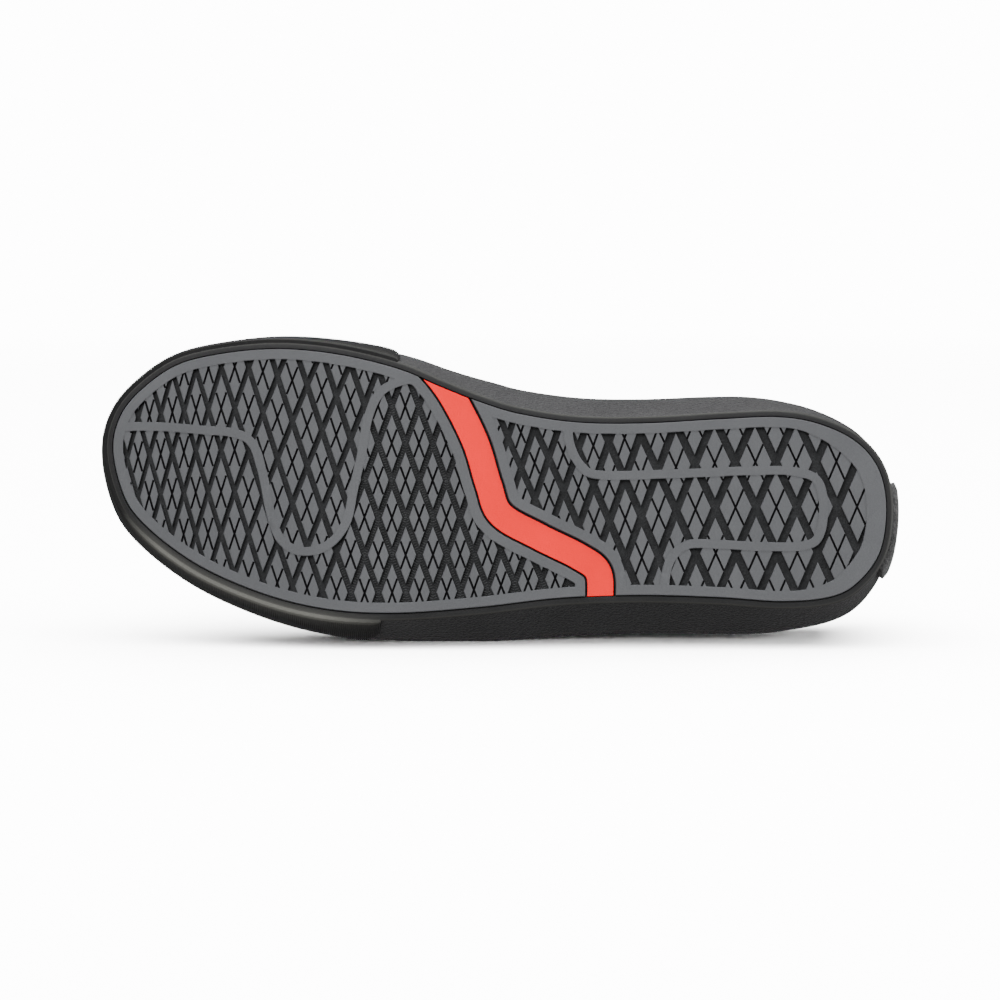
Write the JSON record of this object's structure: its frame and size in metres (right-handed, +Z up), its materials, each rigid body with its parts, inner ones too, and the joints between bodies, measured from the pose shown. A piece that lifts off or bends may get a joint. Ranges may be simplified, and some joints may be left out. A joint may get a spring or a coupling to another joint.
{
  "type": "skateboarding shoe",
  "caption": "Low-top right skateboarding shoe with a cupped rubber sole, diamond tread, red waist band and a hollow laced leather upper, lying on its lateral side.",
  "frame": {"origin": "centre of the lying shoe's bounding box, on the floor", "axes": "+X from the toe to the heel, -Y the way the sole faces, +Z up, which is the medial side"},
  "size_m": [0.303, 0.1132, 0.1145],
  "materials": {
    "black_rubber": "matt",
    "grey_rubber": "matt",
    "red_rubber": "satin",
    "black_leather": "semi-matt",
    "black_cotton": "matt",
    "insole_foam": "matt"
  },
  "bodies": {
    "root": {"sole_cup": "black_rubber", "toe_bumper": "black_rubber", "heel_tab": "black_rubber", "forefoot_tread": "grey_rubber", "heel_tread": "grey_rubber", "waist_inlay": "red_rubber", "upper": "black_leather", "eyestay": "black_leather", "tongue": "black_cotton", "laces": "black_cotton", "insole": "insole_foam"}
  },
  "joints": []
}
